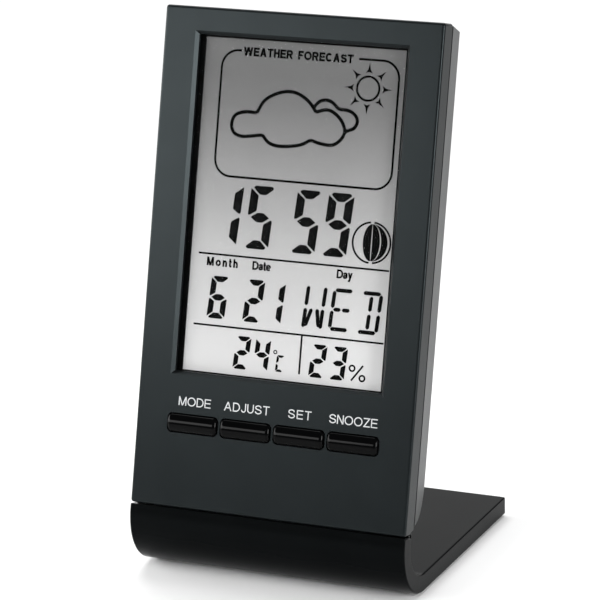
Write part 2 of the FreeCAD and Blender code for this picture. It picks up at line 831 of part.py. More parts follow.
def controller_blob():
    """The black resin that covers the bare controller chip: a low dome."""
    ball_radius = "(blob_radius * blob_radius + blob_rise * blob_rise) / (2 * blob_rise)"
    ball = doc.addObject("Part::Sphere", "blob_ball")
    ball.setExpression("Radius", bound(ball_radius))
    move_to(ball, "-4", "%s + blob_rise - %s" % (BOARD_BACK, ball_radius), "60")
    room = box("blob_room", ("-12", "4"), (BOARD_BACK, BOARD_BACK + " + 3"), ("50", "70"))
    node("controller_blob", common("blob", ball, room))


def buzzer():
    """A round can with a sound hole in its lid."""
    place = ("buzzer_across", "buzzer_height")
    can = rod("buzzer_can", "buzzer_radius", "y", (BOARD_BACK, BOARD_BACK + " + buzzer_thick"),
              place)
    hole = rod("buzzer_hole", "buzzer_hole_radius", "y",
               (BOARD_BACK + " + 1", BOARD_BACK + " + buzzer_thick + 1"), place)
    node("buzzer", cut("buzzer_cut", can, [hole]))


def sensors():
    """The humidity sensor in its slotted cover, and the thermistor bead on its legs."""
    cover = on_board("humidity_cover", (10.0, 3.2, 7.0), (-14.0, 93.0))
    slots = [box("humidity_slot_%d" % number, ("-17.5", "-10.5"),
                 (BOARD_BACK + " + 2.4", BOARD_BACK + " + 4"),
                 (str(90.6 + 1.6 * number), str(91.4 + 1.6 * number))) for number in range(4)]
    node("humidity_sensor", cut("humidity_cut", cover, slots))
    bead = doc.addObject("Part::Sphere", "thermistor_bead")
    bead.setExpression("Radius", bound("thermistor_radius"))
    move_to(bead, "14", BOARD_BACK + " + thermistor_out", "94")
    legs = []
    for name, across in (("left", 13.5), ("right", 14.5)):
        legs.append(rod("thermistor_leg_" + name, "thermistor_leg_radius", "y",
                        (BOARD_BACK, BOARD_BACK + " + thermistor_out - 0.4"),
                        (str(across), "94")))
    node("thermistor", fuse("thermistor_whole", [bead] + legs))


def small_parts():
    """The clock crystal, the filter capacitor and the chips along the board."""
    crystal = rod("crystal_can_rod", "crystal_radius", "z", ("44", "44 + crystal_length"),
                  ("8", BOARD_BACK + " + crystal_radius"))
    node("clock_crystal", crystal)
    capacitor = rod("filter_can", "capacitor_radius", "y",
                    (BOARD_BACK, BOARD_BACK + " + capacitor_length"), ("-18", "36"))
    node("filter_capacitor", capacitor)
    chips = ((-10, 52), (-10, 48), (3, 70), (6, 70), (-14, 70))
    group_node("chip_capacitors", [on_board("chip_capacitor_%d" % number, (1.6, 0.8, 0.8), place)
                                   for number, place in enumerate(chips)])
    chips = ((4, 56), (4, 53.5), (4, 51), (-16, 60), (-16, 57.5), (10, 88))
    group_node("chip_resistors", [on_board("chip_resistor_%d" % number, (1.6, 0.5, 0.8), place)
                                  for number, place in enumerate(chips)])


# ----------------------------------------------------------------------- keys

MAT_FRONT = "board_front - mat_thick"
FLANGE_FRONT = "front_wall + key_rest_gap"
FLANGE_BACK = FLANGE_FRONT + " + key_flange_thick"
PILL_BACK = "board_front - key_travel"


def key_cap(name, step):
    """A key: a crowned bar in its opening, with a flange behind the wall."""
    middle = key_middle(step)
    low = "key_centre - key_opening_height / 2 + key_gap"
    high = "key_centre + key_opening_height / 2 - key_gap"
    span = (middle + " - key_opening_width / 2 + key_gap",
            middle + " + key_opening_width / 2 - key_gap")
    bar = plate(name + "_bar", "key_opening_width - 2 * key_gap",
                "key_opening_height - 2 * key_gap", ("-key_crown", FLANGE_FRONT),
                (middle, "key_centre"), "key_end_round")
    half_height = value("key_opening_height") / 2 - value("key_gap")
    crown = value("key_crown")
    crown_radius = (half_height ** 2 + crown ** 2) / (2 * crown)
    crown_rod = rod(name + "_crown", str(crown_radius), "x", span,
                    ("%s - key_crown" % crown_radius, "key_centre"))
    body = part_fillet(name + "_body", common(name + "_crowned", bar, crown_rod),
                       [("key_edge_round", round_the_crown)])
    flange = box(name + "_flange", span, (FLANGE_FRONT, FLANGE_BACK),
                 (low + " - key_flange_over", high + " + key_flange_over"))
    node("button_" + name, fuse(name + "_whole", [body, flange]))


def round_the_crown(middle, run):
    return middle.y < 0.02


def keypad():
    """Caps, the mat behind them, and a post with a carbon pill for each key."""
    mat = plate("mat", "mat_width", "mat_height", (MAT_FRONT, "board_front"),
                ("0", "key_centre + 0.6"), "key_end_round")
    rings = rods_at("mat_ring", [(key_middle(step), "key_centre") for name, step in KEYS],
                    "post_radius + mat_ring_gap", (MAT_FRONT + " - 1", "board_front + 1"))
    node("keypad_mat", cut("mat_cut", mat, rings))
    for name, step in KEYS:
        key_cap(name, step)
        place = (key_middle(step), "key_centre")
        post = rod(name + "_post", "post_radius", "y",
                   (FLANGE_BACK, PILL_BACK + " - pill_thick"), place)
        pill = rod(name + "_pill", "post_radius", "y",
                   (PILL_BACK + " - pill_thick", PILL_BACK), place)
        node("key_post_" + name, post)
        node("carbon_pill_" + name, pill)


# --------------------------------------------------------------------- battery

def contact(name, across, inward):
    """A flat nickel contact on its rib, with a tab up to the board's back face."""
    face = (across, across + " + contact_thick")
    if inward == "-1":
        face = (across + " - contact_thick", across)
    blade = box(name + "_blade", face, ("contact_front", "contact_back"),
                ("contact_bottom", "board_bottom - 0.4"))
    tab = box(name + "_tab", face, (BOARD_BACK + " + 0.05", BOARD_BACK + " + contact_tab_out"),
              ("board_bottom - 0.6", "board_bottom + contact_tab_up"))
    return blade, tab


def battery():
    cell = ("cell_depth", "cell_height")
    cell_right = "cell_left + cell_length"
    case = rod("cell_case", "cell_radius", "x", ("cell_left", cell_right), cell)
    button = rod("cell_button", "cell_button_radius", "x",
                 (cell_right, cell_right + " + cell_button_length"), cell)
    node("battery_cell", fuse("cell", [case, button]))
    blade, tab = contact("plate_contact", cell_right + " + cell_button_length", "1")
    node("battery_plate_contact", fuse("plate_contact", [blade, tab]))
    blade, tab = contact("spring_contact", "cell_left - spring_length", "-1")
    helix = doc.addObject("Part::Helix", "spring_helix")
    helix.setExpression("Radius", bound("spring_radius"))
    helix.setExpression("Angle", bound("spring_flare"))
    helix.setExpression("Pitch", bound("spring_pitch"))
    helix.setExpression("Height", bound("spring_length - 2 * spring_wire"))
    wire = doc.addObject("Part::Circle", "spring_section")
    wire.setExpression("Radius", bound("spring_wire"))
    wire.Placement.Rotation = FreeCAD.Rotation(FreeCAD.Vector(1, 0, 0), 90)
    wire.setExpression("Placement.Base.x", bound("spring_radius"))
    coil = doc.addObject("Part::Sweep", "spring_coil")
    coil.Sections = [wire]
    coil.Spine = (helix, [])
    coil.Solid = True
    coil.Frenet = True
    coil.Placement.Rotation = ALONG["x"]
    move_to(coil, "cell_left - spring_length + 0.7 * spring_wire", *cell)
    node("battery_spring_contact", fuse("spring_contact", [blade, tab, coil]))


# ---------------------------------------------------------------- build and save

def check_document():
    """Stop if any object failed to recompute."""
    doc.recompute()
    failed = [thing.Name for thing in doc.Objects
              if "Invalid" in thing.State or "Error" in thing.State]
    if failed:
        raise RuntimeError("these objects failed: " + ", ".join(failed))


def save_nodes():
    """Check every finished piece, then write each to its own file."""
    for label, thing in NODES.items():
        shape = thing.Shape
        if shape.isNull() or not shape.isValid() or not shape.Solids:
            raise RuntimeError("%s has no valid solid" % label)
    for label, thing in NODES.items():
        thing.Shape.exportStep("parts/%s.step" % label)
        print("%-24s %d solid(s) %9.1f mm3" % (label, len(thing.Shape.Solids),
                                               thing.Shape.Volume))


stand()
stand_feet()
hinge_pins()
front_case()
skin = rear_shell()
rear_case(skin)
battery_door(skin)
window()
display()
lcd_holder()
main_board()
all_screws()
controller_blob()
buzzer()
sensors()
small_parts()
keypad()
battery()
check_document()
save_nodes()
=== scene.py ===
import json
import math

import bmesh
import bpy
from mathutils import Matrix, Vector


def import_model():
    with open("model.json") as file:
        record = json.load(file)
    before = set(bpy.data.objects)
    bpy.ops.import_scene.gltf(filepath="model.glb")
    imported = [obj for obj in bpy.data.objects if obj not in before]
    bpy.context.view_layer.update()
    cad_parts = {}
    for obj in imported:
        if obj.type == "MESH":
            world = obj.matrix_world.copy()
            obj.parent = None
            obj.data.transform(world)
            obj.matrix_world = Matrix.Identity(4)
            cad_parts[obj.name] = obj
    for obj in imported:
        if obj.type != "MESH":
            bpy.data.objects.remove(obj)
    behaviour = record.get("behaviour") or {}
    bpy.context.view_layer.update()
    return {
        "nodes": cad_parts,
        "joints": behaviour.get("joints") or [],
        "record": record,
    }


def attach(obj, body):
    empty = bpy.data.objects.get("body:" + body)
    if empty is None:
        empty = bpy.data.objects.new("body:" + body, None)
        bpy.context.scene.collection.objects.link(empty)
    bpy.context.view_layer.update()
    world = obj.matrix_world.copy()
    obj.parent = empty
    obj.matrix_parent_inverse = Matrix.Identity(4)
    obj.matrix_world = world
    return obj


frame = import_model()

MM = 0.001
NODES = frame["nodes"]
RECORD = frame["record"]


# ------------------------------------------------------------ the case's own frame
# Places on the leaning display unit are given as (across, up, back) in millimetres:
# across the face from its middle, up it from its bottom edge, and back into the case.

JOINTS = {joint["name"]: joint for joint in frame["joints"]}
ACROSS = Vector((1, 0, 0))
BACK = Vector(JOINTS["press_mode"]["axis"]).normalized()
UP = ACROSS.cross(BACK)


def face_corner():
    """The middle of the face's bottom edge, worked out from the front case's mesh."""
    places = [vertex.co for vertex in NODES["front_case"].data.vertices]
    nearest = min(place.dot(BACK) for place in places)
    face_depth = nearest + 0.7 * MM
    on_face = [place.dot(UP) for place in places if place.dot(BACK) < face_depth]
    return BACK * nearest + UP * min(on_face)


CORNER = face_corner()

# Takes a drawing's points (across, up, towards the front), in metres, onto the face.
DRAWING_TO_FACE = Matrix((
    (ACROSS.x, UP.x, -BACK.x, CORNER.x),
    (ACROSS.y, UP.y, -BACK.y, CORNER.y),
    (ACROSS.z, UP.z, -BACK.z, CORNER.z),
    (0, 0, 0, 1)))


def case_box(name):
    """A node's lowest and highest (across, up, back), in millimetres."""
    places = [vertex.co - CORNER for vertex in NODES[name].data.vertices]
    spans = [[place.dot(way) / MM for place in places] for way in (ACROSS, UP, BACK)]
    return [min(span) for span in spans], [max(span) for span in spans]


# ------------------------------------------------------------------ materials

def material(name, colour, roughness, **sockets):
    """A Principled material with plain values on its sockets."""
    made = bpy.data.materials.new(name)
    made.use_nodes = True
    shader = made.node_tree.nodes["Principled BSDF"]
    shader.inputs["Base Color"].default_value = (*colour, 1)
    shader.inputs["Roughness"].default_value = roughness
    for socket, setting in sockets.items():
        shader.inputs[socket.replace("_", " ")].default_value = setting
    return made


def node_of(made, kind, **settings):
    """A new shader node, with its settings."""
    node = made.node_tree.nodes.new(kind)
    for key, setting in settings.items():
        if key in node.inputs:
            node.inputs[key].default_value = setting
        else:
            setattr(node, key, setting)
    return node


def object_place(made):
    """Where a point lies on the object, in metres."""
    return node_of(made, "ShaderNodeTexCoord").outputs["Object"]


def noise(made, scale, detail=3.0):
    """Noise fixed to the object, as many times per metre as its scale."""
    texture = node_of(made, "ShaderNodeTexNoise", Scale=scale, Detail=detail)
    made.node_tree.links.new(object_place(made), texture.inputs["Vector"])
    return texture.outputs["Fac"]


def ramp(made, source, stops):
    """A colour ramp over a source; stops are (place, colour) pairs."""
    node = node_of(made, "ShaderNodeValToRGB")
    made.node_tree.links.new(source, node.inputs["Fac"])
    elements = node.color_ramp.elements
    while len(elements) < len(stops):
        elements.new(0.5)
    for element, (place, colour) in zip(elements, stops):
        element.position = place
        element.color = (*colour, 1)
    return node.outputs["Color"]


def mottle(made, colour, spread, scale):
    """Vary the base colour a little over the surface."""
    low = [part * (1 - spread) for part in colour]
    high = [part * (1 + spread) for part in colour]
    shade = ramp(made, noise(made, scale), [(0.3, low), (0.7, high)])
    shader = made.node_tree.nodes["Principled BSDF"]
    made.node_tree.links.new(shade, shader.inputs["Base Color"])


def vary_roughness(made, low, high, scale):
    """Let the roughness drift between two values."""
    spread = node_of(made, "ShaderNodeMapRange")
    spread.inputs["To Min"].default_value = low
    spread.inputs["To Max"].default_value = high
    made.node_tree.links.new(noise(made, scale), spread.inputs["Value"])
    shader = made.node_tree.nodes["Principled BSDF"]
    made.node_tree.links.new(spread.outputs["Result"], shader.inputs["Roughness"])


def grain(made, scale, depth_mm, detail=4.0):
    """A surface's fine grain, as a bump at full strength."""
    bump = node_of(made, "ShaderNodeBump")
    bump.inputs["Strength"].default_value = 1.0
    bump.inputs["Distance"].default_value = depth_mm * MM
    made.node_tree.links.new(noise(made, scale, detail), bump.inputs["Height"])
    shader = made.node_tree.nodes["Principled BSDF"]
    made.node_tree.links.new(bump.outputs["Normal"], shader.inputs["Normal"])


def moulded(name, colour, roughness, scale=5200, depth_mm=0.012, spread=0.12, gloss=0.5,
            sheen=(1, 1, 1)):
    """Moulded plastic: fine grain, a slight cloudiness and a drifting roughness.

    Roughness is its lowest and highest value, spread is how much the colour varies, and
    the sheen tints what it reflects.
    """
    cloud_scale, drift_scale = 90, 140
    made = material(name, colour, roughness[0], Specular_IOR_Level=gloss,
                    Specular_Tint=(*sheen, 1))
    mottle(made, colour, spread, cloud_scale)
    vary_roughness(made, roughness[0], roughness[1], drift_scale)
    grain(made, scale, depth_mm)
    return made


def share_along(made, name, axis):
    """How far along a node's own mesh a point lies, from 0 to 1."""
    places = [vertex.co["XYZ".index(axis)] for vertex in NODES[name].data.vertices]
    place = node_of(made, "ShaderNodeSeparateXYZ")
    made.node_tree.links.new(object_place(made), place.inputs["Vector"])
    share = node_of(made, "ShaderNodeMapRange")
    share.inputs["From Min"].default_value = min(places)
    share.inputs["From Max"].default_value = max(places)
    made.node_tree.links.new(place.outputs[axis], share.inputs["Value"])
    return share.outputs["Result"]


def grey_ramp(made, source, stops):
    """A ramp of greys; stops are (place, grey) pairs."""
    return ramp(made, source, [(place, (grey, grey, grey)) for place, grey in stops])


def painted_light_display():
    """The display's background with painted light: a painted reflection makes it darker grey at
    the top and paler towards the bottom, and the sides are painted paler to lift the shade the
    window's rim casts there.
    """
    made = material("display_painted_light", (0.5, 0.5, 0.5), 0.4, Specular_IOR_Level=0.1)
    # Painted reflection: the grey runs from dark at the top to pale at the bottom.
    upward = grey_ramp(made, share_along(made, "lcd_front_polariser", "Z"), (
        (0.0, 0.89), (0.19, 0.74), (0.34, 0.63), (0.5, 0.46), (0.65, 0.325), (0.79, 0.22),
        (0.88, 0.19), (1.0, 0.2)))
    # Painted light: the sides are made paler to lift the shade that the window's rim casts on
    # them.
    across = grey_ramp(made, share_along(made, "lcd_front_polariser", "X"), (
        (0.03, 1.0), (0.14, 0.9), (0.3, 0.85), (0.68, 0.85), (0.85, 0.91), (0.97, 1.0)))
    blend = node_of(made, "ShaderNodeMix", data_type="RGBA", blend_type="MULTIPLY")
    blend.inputs["Factor"].default_value = 1.0
    made.node_tree.links.new(upward, blend.inputs["A"])
    made.node_tree.links.new(across, blend.inputs["B"])
    shader = made.node_tree.nodes["Principled BSDF"]
    made.node_tree.links.new(blend.outputs["Result"], shader.inputs["Base Color"])
    grain(made, 9000, 0.002)
    return made


def circuit_green():
    """Solder resist with fine tracks showing through it."""
    made = material("circuit_green", (0.02, 0.12, 0.05), 0.35)
    wave = node_of(made, "ShaderNodeTexWave", Scale=160.0, Distortion=9.0, Detail=1.0)
    made.node_tree.links.new(object_place(made), wave.inputs["Vector"])
    shade = ramp(made, wave.outputs["Color"], [(0.62, (0.012, 0.085, 0.035)),
                                               (0.72, (0.03, 0.16, 0.07))])
    shader = made.node_tree.nodes["Principled BSDF"]
    made.node_tree.links.new(shade, shader.inputs["Base Color"])
    grain(made, 2500, 0.01)
    return made


def metal(name, colour, roughness):
    """Bare or plated metal with faint brushing."""
    made = material(name, colour, roughness, Metallic=1.0)
    vary_roughness(made, roughness * 0.7, roughness * 1.4, 900)
    grain(made, 3000, 0.003)
    return made


def cell_sleeve():
    """The cell's plain sleeve: dark blue with a tan band, and bare metal at both ends."""
    made = material("cell_sleeve", (0.03, 0.05, 0.12), 0.3)
    shade = ramp(made, share_along(made, "battery_cell", "X"), [
        (0.03, (0.55, 0.55, 0.56)), (0.035, (0.025, 0.04, 0.1)),
        (0.74, (0.025, 0.04, 0.1)), (0.75, (0.5, 0.32, 0.12)),
        (0.96, (0.5, 0.32, 0.12)), (0.97, (0.6, 0.6, 0.61))])
    shader = made.node_tree.nodes["Principled BSDF"]
    made.node_tree.links.new(shade, shader.inputs["Base Color"])
    grain(made, 2200, 0.004)
    return made


# The case and the stand reflect a little cooler than the light.
COOL = (0.84, 1.0, 1.04)

MATERIALS = {
    "case": moulded("case_satin", (0.0046, 0.0056, 0.006), (0.26, 0.32), gloss=0.17,
                    sheen=COOL),
    "stand": moulded("stand_satin", (0.0016, 0.0018, 0.0019), (0.2, 0.26), depth_mm=0.006,
                     gloss=0.038, sheen=COOL),
    "key": moulded("key_gloss", (0.0006, 0.0007, 0.0008), (0.06, 0.09), depth_mm=0.002,
                   gloss=0.075),
    "black": moulded("black_moulding", (0.012, 0.012, 0.012), (0.4, 0.5)),
    "border": moulded("display_border", (0.0015, 0.0017, 0.0017), (0.35, 0.45), depth_mm=0.004,
                      gloss=0.03),
    "rubber": moulded("foot_rubber", (0.03, 0.03, 0.03), (0.7, 0.85), 3000, 0.02),
    "silicone": moulded("grey_silicone", (0.5, 0.51, 0.51), (0.5, 0.6), 2500, 0.01, 0.04),
    "zebra": moulded("zebra_silicone", (0.4, 0.16, 0.2), (0.5, 0.6), 2500, 0.01),
    "carbon": moulded("carbon_silicone", (0.015, 0.015, 0.015), (0.6, 0.7), 2500, 0.01),
    "white": moulded("sensor_white", (0.72, 0.73, 0.73), (0.4, 0.5), 3000, 0.01, 0.03),
    "resin": moulded("black_resin", (0.01, 0.01, 0.01), (0.15, 0.25), 900, 0.02),
    "ceramic": moulded("chip_ceramic", (0.36, 0.24, 0.13), (0.4, 0.5), 3000, 0.005),
    "silver": moulded("reflector_film", (0.5, 0.51, 0.5), (0.3, 0.4), 3000, 0.003, 0.03),
    "steel": metal("ground_steel", (0.55, 0.55, 0.56), 0.25),
    "zinc": metal("zinc_plate", (0.6, 0.61, 0.64), 0.3),
    "nickel": metal("nickel_plate", (0.66, 0.62, 0.55), 0.2),
    "board": circuit_green(),
    "cell": cell_sleeve(),
    "paper": painted_light_display(),
    "ink": moulded("display_ink", (0.0026, 0.003, 0.003), (0.3, 0.4), 3000, 0.001, gloss=0.0),
    "print": moulded("label_print", (0.55, 0.56, 0.57), (0.45, 0.55), 4000, 0.002, 0.03),
    "window": material("window_clear", (0.02, 0.02, 0.02), 0.04, Alpha=0.07, IOR=1.49,
                       Specular_IOR_Level=0.05),
    "glass": material("display_glass", (0.85, 0.9, 0.88), 0.05, Alpha=0.3, IOR=1.52),
}

# The material each slot in the record gets.
FINISH = {
    "stand_plastic": "stand", "case_plastic": "case", "key_plastic": "key",
    "foot_rubber": "rubber", "steel_pin": "steel", "clear_window": "window",
    "adhesive": "black", "foam": "border", "polariser": "paper", "display_glass": "glass",
    "reflector": "silver", "black_frame": "black", "zebra_rubber": "zebra",
    "board": "board", "zinc_screw": "zinc", "resin": "resin", "sensor_cover": "white",
    "nickel": "nickel", "capacitor_can": "steel", "chip_ceramic": "ceramic",
    "silicone": "silicone", "carbon": "carbon", "cell_wrap": "cell",
}


def soften(thing, width_mm):
    """Join a node's split faces and round its sharp edges a little."""
    weld = thing.modifiers.new("join", "WELD")
    weld.merge_threshold = 0.001 * MM
    bevel = thing.modifiers.new("soft_edges", "BEVEL")
    bevel.width = width_mm * MM
    bevel.segments = 3
    bevel.limit_method = "ANGLE"
    bevel.angle_limit = math.radians(35)
    bevel.harden_normals = True


def finish_nodes():
    """Give every CAD node the material of its slot in the record."""
    for part in RECORD["subparts"]:
        thing = NODES[part["node"]]
        thing.data.materials.clear()
        thing.data.materials.append(MATERIALS[FINISH[part["material_slot"]]])


# --------------------------------------------------------------- flat printing

def rounded_outline(points, radius, steps=3):
    """An outline with its corners cut round; radius is in the points' own units."""
    outline = []
    count = len(points)
    for index, point in enumerate(points):
        here = Vector(point)
        before = Vector(points[index - 1]) - here
        after = Vector(points[(index + 1) % count]) - here
        reach = min(radius, before.length * 0.45, after.length * 0.45)
        start = here + before.normalized() * reach
        end = here + after.normalized() * reach
        for step in range(steps + 1):
            share = step / steps
            outline.append(start.lerp(here, share).lerp(here.lerp(end, share), share))
    return outline


def stroke_outline(path, width, closed=False):
    """Quads that follow a path of (across, up) points with a given width."""
    count = len(path)
    sides = []
    for index, point in enumerate(path):
        here = Vector(point)
        before = Vector(path[index - 1]) if index or closed else here
        after = Vector(path[(index + 1) % count]) if index < count - 1 or closed else here
        run = ((here - before).normalized() + (after - here).normalized()).normalized()
        side = Vector((-run.y, run.x)) * width / 2
        turn = (here - before).normalized() if index or closed else run
        stretch = 1 / max(0.5, abs(turn.dot(run)))
        sides.append((here + side * stretch, here - side * stretch))
    quads = []
    for index in range(count if closed else count - 1):
        left, right = sides[index]
        next_left, next_right = sides[(index + 1) % count]
        quads.append([left, next_left, next_right, right])
    return quads


# The display's drawings are all moved this far across and up, in millimetres.
DISPLAY_SHIFT = (0.44, 0.165)


def printed(name, outlines, depth_mm, thick_mm, finish, slot):
    """A printed layer: flat outlines in (across, up) millimetres, made a thin solid.

    Its back lies depth_mm behind the face and it is thick_mm thick.
    """
    mesh = bpy.data.meshes.new(name)
    build = bmesh.new()
    for outline in outlines:
        loop = [build.verts.new((point[0], point[1], 0)) for point in outline]
        build.faces.new(loop)
    bmesh.ops.remove_doubles(build, verts=build.verts, dist=0.0001)
    bmesh.ops.recalc_face_normals(build, faces=build.faces)
    for face in build.faces:
        if face.normal.z < 0:
            face.normal_flip()
    grown = bmesh.ops.extrude_face_region(build, geom=build.faces[:])
    raised = [part for part in grown["geom"] if isinstance(part, bmesh.types.BMVert)]
    bmesh.ops.translate(build, verts=raised, vec=(0, 0, thick_mm))
    bmesh.ops.recalc_face_normals(build, faces=build.faces)
    build.to_mesh(mesh)
    build.free()
    return place_flat(name, mesh, depth_mm, finish)


def place_flat(name, mesh, depth_mm, finish):
    """Put a flat mesh, in millimetres, on the leaning face, riding on the display unit."""
    shift = DISPLAY_SHIFT if finish == "ink" else (0, 0)
    mesh.transform(Matrix.Translation((*shift, -depth_mm)))
    mesh.transform(Matrix.Scale(MM, 4))
    mesh.transform(DRAWING_TO_FACE)
    piece = bpy.data.objects.new(name, mesh)
    bpy.context.scene.collection.objects.link(piece)
    mesh.materials.append(MATERIALS[finish])
    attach(piece, "display_unit")
    return piece


def smooth_path(points, steps=6):
    """A smooth curve through a few points."""
    path = []
    last = len(points) - 1
    for index in range(last):
        around = [Vector(points[max(0, min(last, index + near))]) for near in (-1, 0, 1, 2)]
        for step in range(steps):
            share = step / steps
            path.append(tuple(0.5 * (
                2 * around[1] + (around[2] - around[0]) * share
                + (2 * around[0] - 5 * around[1] + 4 * around[2] - around[3]) * share ** 2
                + (3 * around[1] - 3 * around[2] + around[3] - around[0]) * share ** 3)))
    path.append(tuple(points[last]))
    return path


# Widths of the letters, as shares of a capital's height.
LETTER_WIDTHS = {
    "A": 0.93, "C": 0.9, "D": 0.84, "E": 0.76, "F": 0.7, "H": 0.78, "J": 0.58, "M": 0.94,
    "N": 0.78, "O": 1.0, "R": 0.86, "S": 0.82, "T": 0.78, "U": 0.78, "W": 1.28, "Z": 0.78,
    "a": 0.66, "e": 0.68, "h": 0.6, "n": 0.6, "o": 0.7, "t": 0.36, "y": 0.66, " ": 0.55,
}

# The height of a small letter such as a, as a share of a capital's.
SMALL_LETTER = 0.74


def oval(left, right, low, high, start, end, steps=18):
    """Points round an oval that fills a box, from one angle to another in degrees."""
    points = []
    for step in range(steps + 1):
        turn = math.radians(start + (end - start) * step / steps)
        points.append(((left + right) / 2 + (right - left) / 2 * math.cos(turn),
                       (low + high) / 2 + (high - low) / 2 * math.sin(turn)))
    return points


def straight(start, end, thick):
    """A stroke that runs up or aslant, cut level at both ends."""
    lean = (end[0] - start[0]) / (end[1] - start[1])
    half = thick / 2 * math.sqrt(1 + lean * lean)
    return [(start[0] - half, start[1]), (start[0] + half, start[1]),
            (end[0] + half, end[1]), (end[0] - half, end[1])]


def level(left, right, middle, thick):
    """A stroke that runs across."""
    return [(left, middle - thick / 2), (right, middle - thick / 2),
            (right, middle + thick / 2), (left, middle + thick / 2)]


def glyph(mark, wide, tall, thick):
    """One plain letter as outlines.

    Its width, a capital's height and its strokes' width are given.
    """
    edge = thick / 2
    small = tall * SMALL_LETTER
    foot = thick * 0.62
    half = wide / 2

    def stroke(points):
        return stroke_outline(points, thick)

    def through(points, height):
        placed = [(edge + (wide - thick) * across, edge + (height - thick) * up)
                  for across, up in points]
        return stroke(smooth_path(placed))

    def stems(*places):
        return [straight((place, 0), (place, tall), thick) for place in places]

    if mark == "A":
        return [straight((foot, 0), (half, tall), thick),
                straight((wide - foot, 0), (half, tall), thick),
                level(0.2 * wide, 0.8 * wide, 0.34 * tall, thick)]
    if mark == "C":
        return stroke(oval(edge, wide - edge, edge, tall - edge, 42, 318))
    if mark == "D":
        bend = oval(2 * 0.42 * wide - (wide - edge), wide - edge, edge, tall - edge, 90, -90)
        return stroke([(edge, tall - edge)] + bend + [(edge, edge)]) + stems(edge)
    if mark == "E":
        return stems(edge) + [level(0, wide, tall - edge, thick),
                              level(0, 0.93 * wide, 0.52 * tall, thick),
                              level(0, wide, edge, thick)]
    if mark == "F":
        return stems(edge) + [level(0, wide, tall - edge, thick),
                              level(0, 0.88 * wide, 0.52 * tall, thick)]
    if mark == "H":
        return stems(edge, wide - edge) + [level(0, wide, 0.53 * tall, thick)]
    if mark == "J":
        return stroke([(wide - edge, tall)] + oval(edge, wide - edge, edge, 0.56 * tall, 0, -175))
    if mark == "M":
        return stems(edge, wide - edge) + [straight((half, 0), (foot, tall), thick),
                                           straight((half, 0), (wide - foot, tall), thick)]
    if mark == "N":
        return stems(edge, wide - edge) + [straight((wide - foot, 0), (foot, tall), thick)]
    if mark == "O":
        return stroke_outline(oval(edge, wide - edge, edge, tall - edge, 0, 350, 35), thick,
                              closed=True)
    if mark == "R":
        bend = oval(0.24 * wide, 0.96 * wide - edge, 0.47 * tall, tall - edge, 90, -90)
        return stems(edge) + stroke([(edge, tall - edge)] + bend + [(edge, 0.47 * tall)]) + [
            straight((wide - foot, 0), (0.56 * wide, 0.47 * tall), thick)]
    if mark == "S":
        return through([(0.02, 0.27), (0.12, 0.1), (0.5, 0.0), (0.88, 0.1), (1.0, 0.27),
                        (0.85, 0.43), (0.5, 0.51), (0.14, 0.6), (0.03, 0.76), (0.16, 0.92),
                        (0.5, 1.0), (0.83, 0.92), (0.95, 0.75)], tall)
    if mark == "T":
        return stems(half) + [level(0, wide, tall - edge, thick)]
    if mark == "U":
        bend = oval(edge, wide - edge, edge, 0.68 * tall, 180, 360)
        return stroke([(edge, tall)] + bend + [(wide - edge, tall)])
    if mark == "W":
        left_point, right_point = 0.265 * wide, 0.735 * wide
        return [straight((left_point, 0), (foot, tall), thick),
                straight((left_point, 0), (half, tall), thick),
                straight((right_point, 0), (half, tall), thick),
                straight((right_point, 0), (wide - foot, tall), thick)]
    if mark == "Z":
        return [level(0, wide, tall - edge, thick), level(0, wide, edge, thick),
                straight((1.4 * edge, edge), (wide - 1.4 * edge, tall - edge), thick)]
    if mark == "a":
        return through([(0.07, 0.74), (0.2, 0.93), (0.5, 1.0), (0.8, 0.92), (0.87, 0.68),
                        (0.87, 0.4), (0.88, 0.15), (0.98, 0.0)], small) + through(
            [(0.86, 0.58), (0.5, 0.52), (0.13, 0.4), (0.03, 0.22), (0.14, 0.05),
             (0.42, 0.0), (0.7, 0.08), (0.86, 0.3)], small)
    if mark == "e":
        return stroke(oval(edge, wide - edge, edge, small - edge, 0, 322)) + [
            level(edge, wide - edge, small / 2, thick * 0.9)]
    if mark in "hn":
        top = tall if mark == "h" else small
        bend = oval(edge, wide - edge, 0.2 * small, small - edge, 170, 0)
        return [straight((edge, 0), (edge, top), thick)] + stroke(bend + [(wide - edge, 0)])
    if mark == "o":
        return stroke_outline(oval(edge, wide - edge, edge, small - edge, 0, 350, 35), thick,
                              closed=True)
    if mark == "t":
        return stroke([(0.42 * wide, 0.97 * tall), (0.42 * wide, 0.2 * tall),
                       (0.6 * wide, edge), (wide, edge)]) + [
            level(0, wide, small - edge, thick)]
    if mark == "y":
        return [straight((half, 0), (foot, small), thick),
                straight((0.34 * wide, -0.3 * tall), (wide - foot, small), thick),
                level(0.1 * wide, 0.4 * wide, -0.3 * tall + edge, thick)]
    return []


def lettering(name, words, left, right, low, high, thick, narrow, depth_mm, thick_mm,
              finish, slot):
    """Plain lettering from left to right, capitals reaching from low to high."""
    height = high - low
    widths = [LETTER_WIDTHS[mark] * height * narrow for mark in words]
    between = (right - left - sum(widths)) / (len(words) - 1)
    outlines = []
    start = left
    for mark, width in zip(words, widths):
        for outline in glyph(mark, width, height, thick):
            outlines.append([(start + point[0], low + point[1]) for point in outline])
        start += width + between
    return printed(name, outlines, depth_mm, thick_mm, finish, slot)


# ------------------------------------------------------------- what the display shows

INK_THICK = 0.03
INK_DEPTH = case_box("lcd_front_polariser")[0][2]
INK = ("ink", "polariser")

# The bars that are on in each digit, lettered clockwise from the top, the middle last.
SEGMENTS_ON = {
    "1": "bc", "2": "abged", "3": "abgcd", "4": "fgbc", "5": "afgcd", "6": "afgedc",
    "9": "abfgcd", "c": "afed",
}

# How far a digit leans to the right, as a share of its height.
SLANT = 0.078


